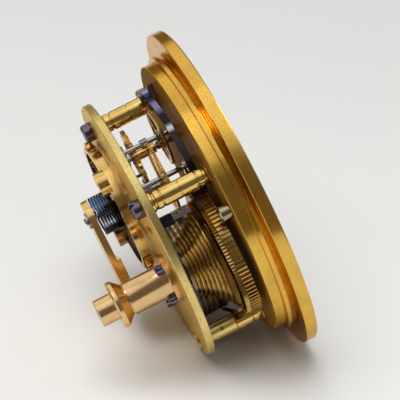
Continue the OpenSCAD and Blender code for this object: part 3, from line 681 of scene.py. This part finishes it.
def helical_spring():
    """The helix between its stud and its collet; its upper turns carry a painted blue highlight."""
    steps = 64 * SPRING_TURNS
    path, sides = [], []
    for i in range(steps + 1):
        a = math.radians(20) + 2 * math.pi * SPRING_TURNS * i / steps
        u = np.array((math.cos(a), math.sin(a), 0))
        z = SPRING_TOP - (SPRING_TOP - SPRING_LOW) * i / steps
        path.append(np.array((*STAFF, z)) + u * SPRING_R)
        sides.append((u, np.array((0, 0, 1.0))))
    strip = sweep(path, sides, chamfered(STRIP_W, STRIP_H, 0.05))
    obj = solid("helix", strip, None, "blued_steel", "helix", "balance_spring")
    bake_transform(obj)


def curve_through(points, each=8):
    """A smooth line through points (Catmull-Rom), with so many steps from each to the next."""
    p = [np.asarray(q, float) for q in points]
    p = [2 * p[0] - p[1]] + p + [2 * p[-1] - p[-2]]
    out = []
    for i in range(1, len(p) - 2):
        for k in range(each):
            t = k / each
            out.append(0.5 * ((2 * p[i]) + (p[i + 1] - p[i - 1]) * t
                              + (2 * p[i - 1] - 5 * p[i] + 4 * p[i + 1] - p[i + 2]) * t * t
                              + (3 * p[i] - p[i - 1] - 3 * p[i + 1] + p[i + 2]) * t ** 3))
    out.append(p[-2])
    return out


# The maintaining detent: the line of its strip from pivot to blade, and its heights
DETENT_LINE = [(5.6, 36.2), (14.5, 32.3), (22.0, 26.4), (26.4, 19.5), (28.6, 12.8),
               (28.9, 7.4), (29.4, 2.6)]
DETENT_LOW, DETENT_HIGH = 1.9, 4.0
BLADE_LOW, BLADE_TOP = 5.7, 6.8
BOSS_R, BOSS_BORE, UPRIGHT_R = 1.9, 0.96, 0.8


def pin(centre, r, z0, z1, bore=0.0):
    """A turned pin or boss with softened edges."""
    e = 0.1
    return lathe([(bore, z0), (r - e, z0), (r, z0 + e), (r, z1 - e), (r - e, z1), (bore, z1)],
                 centre, 40)


def maintaining_detent():
    """The long curved detent, with its boss, its upright and its blade on the ratchet."""
    line = curve_through(DETENT_LINE)
    path, sides = [], []
    for i, q in enumerate(line):
        d = line[min(i + 1, len(line) - 1)] - line[max(i - 1, 0)]
        d /= np.linalg.norm(d)
        path.append(np.array((*q, (DETENT_LOW + DETENT_HIGH) / 2)))
        sides.append((np.array((d[1], -d[0], 0)), np.array((0, 0, 1.0))))
    section = chamfered(0.4, (DETENT_HIGH - DETENT_LOW) / 2, 0.12)
    parts = [sweep(path, sides, section),
             pin(DETENT_LINE[0], BOSS_R, DETENT_LOW, DETENT_HIGH, BOSS_BORE),
             pin(DETENT_LINE[-1], UPRIGHT_R, DETENT_LOW, BLADE_TOP),
             prism([(28.8, 2.9), (30.1, 3.0), (31.6, -2.0)], BLADE_LOW, BLADE_TOP, 0.05)]
    solid("detent_blade", merge(parts), "maintaining_detent", "blued_steel", "detent",
          "maintaining_detent")


# The dial: its face looks along -Z, so that what stands on it has a smaller z
INK = 0.04  # thickness of the wax
SMALL_Z = (DIAL_Z + 0.28, DIAL_Z + 0.22)  # heights of the marks of the two sunk small dials
SUNK = 0.25
SCALE_HOURS, SCALE_ANGLE, SCALE_START = 56, 300, 150  # up-and-down dial, hours and degrees


def placed(outline, z0, z1, centre, degrees):
    """A flat piece from an outline that is turned about its origin and moved to centre."""
    c, s = math.cos(math.radians(degrees)), math.sin(math.radians(degrees))
    turned = [(centre[0] + x * c - y * s, centre[1] + x * s + y * c) for x, y in outline]
    return prism(turned, z0, z1)


def clock_angle(share):
    """Direction of a share of a turn clockwise from 12, on the dial side."""
    return TWELVE + 360 * share


# Strokes of a Roman numeral: each is its foot and head across the numeral, and its width
STROKES = {"I": (0.62, [(0.31, 0.31, 0.24)]),
           "V": (1.30, [(0.65, 0.12, 0.26), (0.65, 1.18, 0.11)]),
           "X": (1.30, [(1.18, 0.12, 0.26), (0.12, 1.18, 0.11)])}
ROMAN = ["XII", "I", "II", "III", "IIII", "V", "VI", "VII", "VIII", "IX", "X", "XI"]


def numeral(text, r0, r1, scale):
    """Outlines of one numeral, standing on r0 with its head at r1, along +X.

    scale: the millimetres that one unit across the strokes stands for.
    """
    left, out = -sum(STROKES[c][0] for c in text) * scale / 2, []
    for c in text:
        wide, strokes = STROKES[c]
        for foot, head, w in strokes:
            f, h, half = left + foot * scale, left + head * scale, w * scale / 2 * 1.25
            out.append([(r0, f - half), (r1, h - half), (r1, h + half), (r0, f + half)])
        serif = (left + 0.05 * scale, left + (wide - 0.05) * scale)
        for r in (r0, r1):
            out.append([(r - 0.1, serif[0]), (r + 0.1, serif[0]),
                        (r + 0.1, serif[1]), (r - 0.1, serif[1])])
        left += wide * scale
    return out


def flat_ring(r, width, centre=CENTRE, z0=DIAL_Z, z1=DIAL_Z - INK):
    """A line round a dial, from r outward."""
    return lathe([(r, z0), (r + width, z0), (r + width, z1), (r, z1)], centre, 120)


def track(centre, angles, every, inner, outer, half, z0, z1):
    """Marks along the radius at the given angles; the first of every few is a long one.

    inner and half: inner radius and half width, each of a long mark and of a short one.
    """
    marks = []
    for m, angle in enumerate(angles):
        kind = 0 if m % every == 0 else 1
        r, w = inner[kind], half[kind]
        marks.append(placed([(r, -w), (outer, -w), (outer, w), (r, w)], z0, z1, centre, angle))
    return marks


def text_outline(text, height):
    """A short number as a shape, centred on the origin."""
    curve = bpy.data.curves.new("digits", "FONT")
    curve.body, curve.size = text, height
    curve.align_x, curve.align_y = "CENTER", "CENTER"
    curve.extrude = INK / 2
    holder = put_in_scene("digits", curve)
    bpy.context.view_layer.update()
    me = bpy.data.meshes.new_from_object(holder)
    pts = [tuple(v.co) for v in me.vertices]
    fcs = [tuple(p.vertices) for p in me.polygons]
    bpy.data.objects.remove(holder)
    bpy.data.curves.remove(curve)
    bpy.data.meshes.remove(me)
    return pts, fcs


def small_number(text, height, centre, share, r):
    """A number of a small dial, upright for the reader, at a share of a turn on radius r."""
    pts, fcs = text_outline(text, height)
    where = np.asarray(centre) + polar(clock_angle(share), r)
    up = polar(TWELVE, 1)
    right = np.array((-up[1], up[0]))  # towards three o'clock, read from the dial side
    return [(*(where + right * x + up * y), DIAL_Z - INK / 2 - z + SUNK) for x, y, z in pts], fcs


def main_dial():
    """The hours in Roman numerals, with the minute track round them."""
    parts = []
    for hour, text in enumerate(ROMAN):
        for outline in numeral(text, 35.2, 42.6, 2.5):
            parts.append(placed(outline, DIAL_Z, DIAL_Z - INK, CENTRE, clock_angle(hour / 12)))
    parts += [flat_ring(r, 0.14) for r in (34.6, 43.3, 45.9)]
    minutes = [clock_angle(m / 60) for m in range(60)]
    parts += track(CENTRE, minutes, 5, (43.4, 43.4), 45.9, (0.22, 0.07), DIAL_Z, DIAL_Z - INK)
    return parts


def small_dials():
    """The seconds dial, and the up-and-down dial with a mark for each hour it has run."""
    parts = [flat_ring(r, 0.08, FOURTH, *SMALL_Z) for r in (8.9, 9.3)]
    seconds = [clock_angle(m / 60) for m in range(60)]
    parts += track(FOURTH, seconds, 5, (8.1, 8.5), 8.95, (0.09, 0.04), *SMALL_Z)
    parts.append(flat_ring(8.9, 0.08, UPDOWN, *SMALL_Z))
    hours = [TWELVE + SCALE_START + m * SCALE_ANGLE / SCALE_HOURS
             for m in range(SCALE_HOURS + 1)]
    parts += track(UPDOWN, hours, 8, (8.0, 8.4), 8.95, (0.09, 0.04), *SMALL_Z)
    for n in range(6):
        parts.append(small_number(str(60 if n == 0 else 10 * n), 2.1, FOURTH, n / 6, 6.6))
    for n in range(8):
        share = (SCALE_START + n * SCALE_ANGLE / 7) / 360
        parts.append(small_number(str(8 * n), 1.7, UPDOWN, share, 6.6))
    return parts


def dial_markings():
    """All that is engraved in the dial, filled with black wax."""
    solid("dial_markings", merge(main_dial() + small_dials()), "frame", "silvered_dial", "wax",
          angle=20)


def screw_head(centre, z0, r, h, slot, degrees):
    """A screw head with a chamfered edge and a slot: two half heads and the slot's floor."""
    corner = math.degrees(math.asin(slot / 2 / r))
    arc = [corner + t * (180 - 2 * corner) / 20 for t in range(21)]
    parts = []
    for turn in (0, 180):
        outline = [tuple(np.asarray(centre) + polar(a + degrees + turn, r)) for a in arc]
        parts.append(prism(outline, z0, z0 + h, 0.12 * r))
    parts.append(lathe([(0, z0), (r, z0), (r, z0 + 0.4 * h), (0, z0 + 0.4 * h)], centre, 40))
    return merge(parts)


COCK_ANGLE = -97  # direction of the cock's foot from the staff, degrees
COCK_TOP = 34.5


def cock_cap():
    """The steel cap over the balance pivot, its ruby and its two screws."""
    z = COCK_TOP
    setting = lathe([(0.78, z - 2.1), (1.48, z - 2.1), (1.48, z), (2.5, z), (2.6, z + 0.1),
                     (2.6, z + 0.5), (2.35, z + 0.7), (1.1, z + 0.7), (0.8, z + 0.45)],
                    STAFF, 64)
    solid("cap_setting", setting, "frame", "ruby", "steel", "cock_jewel")
    stone = lathe([(0, z - 0.1), (0.8, z - 0.1), (0.8, z + 0.44), (0.72, z + 0.52),
                   (0.5, z + 0.60), (0.25, z + 0.645), (0, z + 0.66)], STAFF, 48)
    solid("cap_ruby", stone, "frame", "ruby", "ruby")
    heads = [screw_head(STAFF + polar(COCK_ANGLE + 90, 2.9 * side), z, 0.75, 1.2, 0.25,
                        30 + 40 * side) for side in (-1, 1)]
    solid("cap_screws", merge(heads), "frame", "blued_steel", "screws")


def jewel_holes():
    """Jewels in brass settings round the train's pivots in the back of the top plate."""
    z = BACK_Z
    settings, stones, heads = [], [], []
    for centre, r, turn in ((THIRD, 2.1, 10), (ESCAPE, 1.9, 70)):
        settings.append(lathe([(0.95, z - 0.02), (r, z - 0.02), (r, z + 0.10), (r - 0.12, z + 0.18),
                               (1.05, z + 0.18), (0.95, z + 0.10)], centre, 60))
        stones.append(lathe([(0.52, z - 0.02), (0.97, z - 0.02), (0.97, z + 0.09),
                             (0.85, z + 0.13), (0.62, z + 0.10), (0.52, z + 0.02)], centre, 48))
        heads += [screw_head(centre + polar(turn + 180 * s, r - 0.35), z + 0.1, 0.34, 0.25, 0.12,
                             40 + 60 * s) for s in (0, 1)]
    solid("jewel_settings", merge(settings), "frame", "train_brass", "pillar")
    solid("plate_rubies", merge(stones), "frame", "ruby", "ruby")
    solid("setting_screws", merge(heads), "frame", "blued_steel", "screws")


# ---------------------------------------------------------------- stage
FLOOR_R = 0.9  # metres


def floor():
    """A round pale table top."""
    me = bpy.data.meshes.new("table_top")
    ring = [polar(3 * i, FLOOR_R) for i in range(120)]
    me.from_pydata([(x, y, 0) for x, y in ring], [], [range(120)])
    mat, nt, bsdf = new_material("table_paint")
    place = nt.nodes.new("ShaderNodeTexCoord")
    soft = noise(nt, place.outputs["Object"], 9.0)
    nt.links.new(blend_colours(nt, soft, (0.80, 0.80, 0.81), (0.84, 0.84, 0.84)),
                 bsdf.inputs["Base Color"])
    nt.links.new(spread(nt, soft, 0.3, 0.7, 0.50, 0.60), bsdf.inputs["Roughness"])
    bsdf.inputs["Specular IOR Level"].default_value = 0.15
    me.materials.append(mat)
    obj = put_in_scene("table_top", me)


def area_light(name, where, aim, size, watts, colour, lights="both"):
    """A softbox that lights matt surfaces ("table"), shows in reflections ("metal") or both."""
    data = bpy.data.lights.new(name, "AREA")
    data.shape = "RECTANGLE"
    data.size, data.size_y = size
    data.energy = watts
    data.color = colour
    obj = put_in_scene(name, data)
    obj.visible_glossy = lights != "table"
    obj.visible_diffuse = lights != "metal"
    obj.location = where
    obj.rotation_euler = (Vector(aim) - Vector(where)).to_track_quat("-Z", "Y").to_euler()


def lights():
    """A softbox above, one that brightens the table, and two that only the metal reflects."""
    aim = (0.0, 0.0, 0.045)
    white, warm, cool = (1.0, 0.99, 0.95), (1.0, 0.985, 0.96), (0.97, 0.98, 1.0)
    area_light("overhead", (-0.28, -0.25, 1.15), aim, (0.80, 0.90), 0.9, white)
    area_light("ceiling", (-0.33, -0.32, 1.15), aim, (0.90, 0.90), 13.2, white, "table")
    area_light("window_left", (-0.95, 0.05, 0.80), aim, (0.36, 0.60), 3.4, warm, "metal")
    area_light("dial_side", (1.05, 0.35, 0.90), aim, (0.5, 0.5), 4.0, cool, "metal")


def room():
    """What reflections show: a dim room, bright overhead and high at the back.

    Matt surfaces are lit by an even grey instead, and the camera sees a pale background.
    """
    world = bpy.data.worlds.new("room")
    bpy.context.scene.world = world
    world.use_nodes = True
    nt = world.node_tree
    back = nt.nodes["Background"]
    place = nt.nodes.new("ShaderNodeTexCoord")
    split = nt.nodes.new("ShaderNodeSeparateXYZ")
    nt.links.new(place.outputs["Generated"], split.inputs[0])
    y, z = split.outputs["Y"], split.outputs["Z"]
    ramp = nt.nodes.new("ShaderNodeValToRGB")
    stops = ramp.color_ramp.elements
    stops[0].color = (0.17, 0.130, 0.09, 1)
    stops[1].position, stops[1].color = 0.98, (0.85, 0.85, 0.85, 1)
    for where, colour in ((0.66, (0.17, 0.150, 0.13, 1)), (0.90, (0.50, 0.50, 0.50, 1))):
        stops.new(where).color = colour
    nt.links.new(z, ramp.inputs["Fac"])
    far = spread(nt, y, 0.02, 0.40, 0.0, 1.0)
    low = arithmetic(nt, "MULTIPLY", far, spread(nt, z, 0.22, 0.36, 1.0, 0.0))
    high = arithmetic(nt, "MULTIPLY", far, spread(nt, z, 0.25, 0.45, 0.0, 1.0))
    shade = blend_colours(nt, high, ramp.outputs["Color"], (0.92, 0.90, 0.86))
    shade = blend_colours(nt, low, shade, (0.24, 0.16, 0.10))
    ray = nt.nodes.new("ShaderNodeLightPath")
    shade = blend_colours(nt, ray.outputs["Is Diffuse Ray"], shade, (0.28, 0.285, 0.29))
    shade = blend_colours(nt, ray.outputs["Is Camera Ray"], shade, (0.80, 0.80, 0.81))
    nt.links.new(shade, back.inputs["Color"])
    back.inputs["Strength"].default_value = 1.0


# The camera, in millimetres: its distance from the movement's origin, its shift to the right
# and up from there, and its focal length
VIEW_DISTANCE = 600
VIEW_SHIFT = (-2.274, -0.343)
FOCAL_LENGTH = 178.2


def camera():
    """The photograph's viewpoint, 28.8 degrees above the table."""
    forward = Vector((0.2882, 0.8276, -0.4818)).normalized()
    right = Vector((0.9444, -0.3289, 0.0)).normalized()
    up = right.cross(forward)
    place = ORIGIN + VIEW_SHIFT[0] * right + VIEW_SHIFT[1] * up - VIEW_DISTANCE * forward
    data = bpy.data.cameras.new("camera")
    data.lens, data.sensor_width = FOCAL_LENGTH, 36
    data.clip_start, data.clip_end = 0.05, 20
    obj = put_in_scene("camera", data)
    m = Matrix((right, up, -forward)).transposed().to_4x4()
    m.translation = place / 1000
    obj.matrix_world = m
    bpy.context.scene.camera = obj


floor()
lights()
room()
camera()
bpy.context.scene.view_settings.view_transform = "Standard"

spiral_fusee()
wound_chain()
free_chain()
helical_spring()
maintaining_detent()
dial_markings()
cock_cap()
jewel_holes()
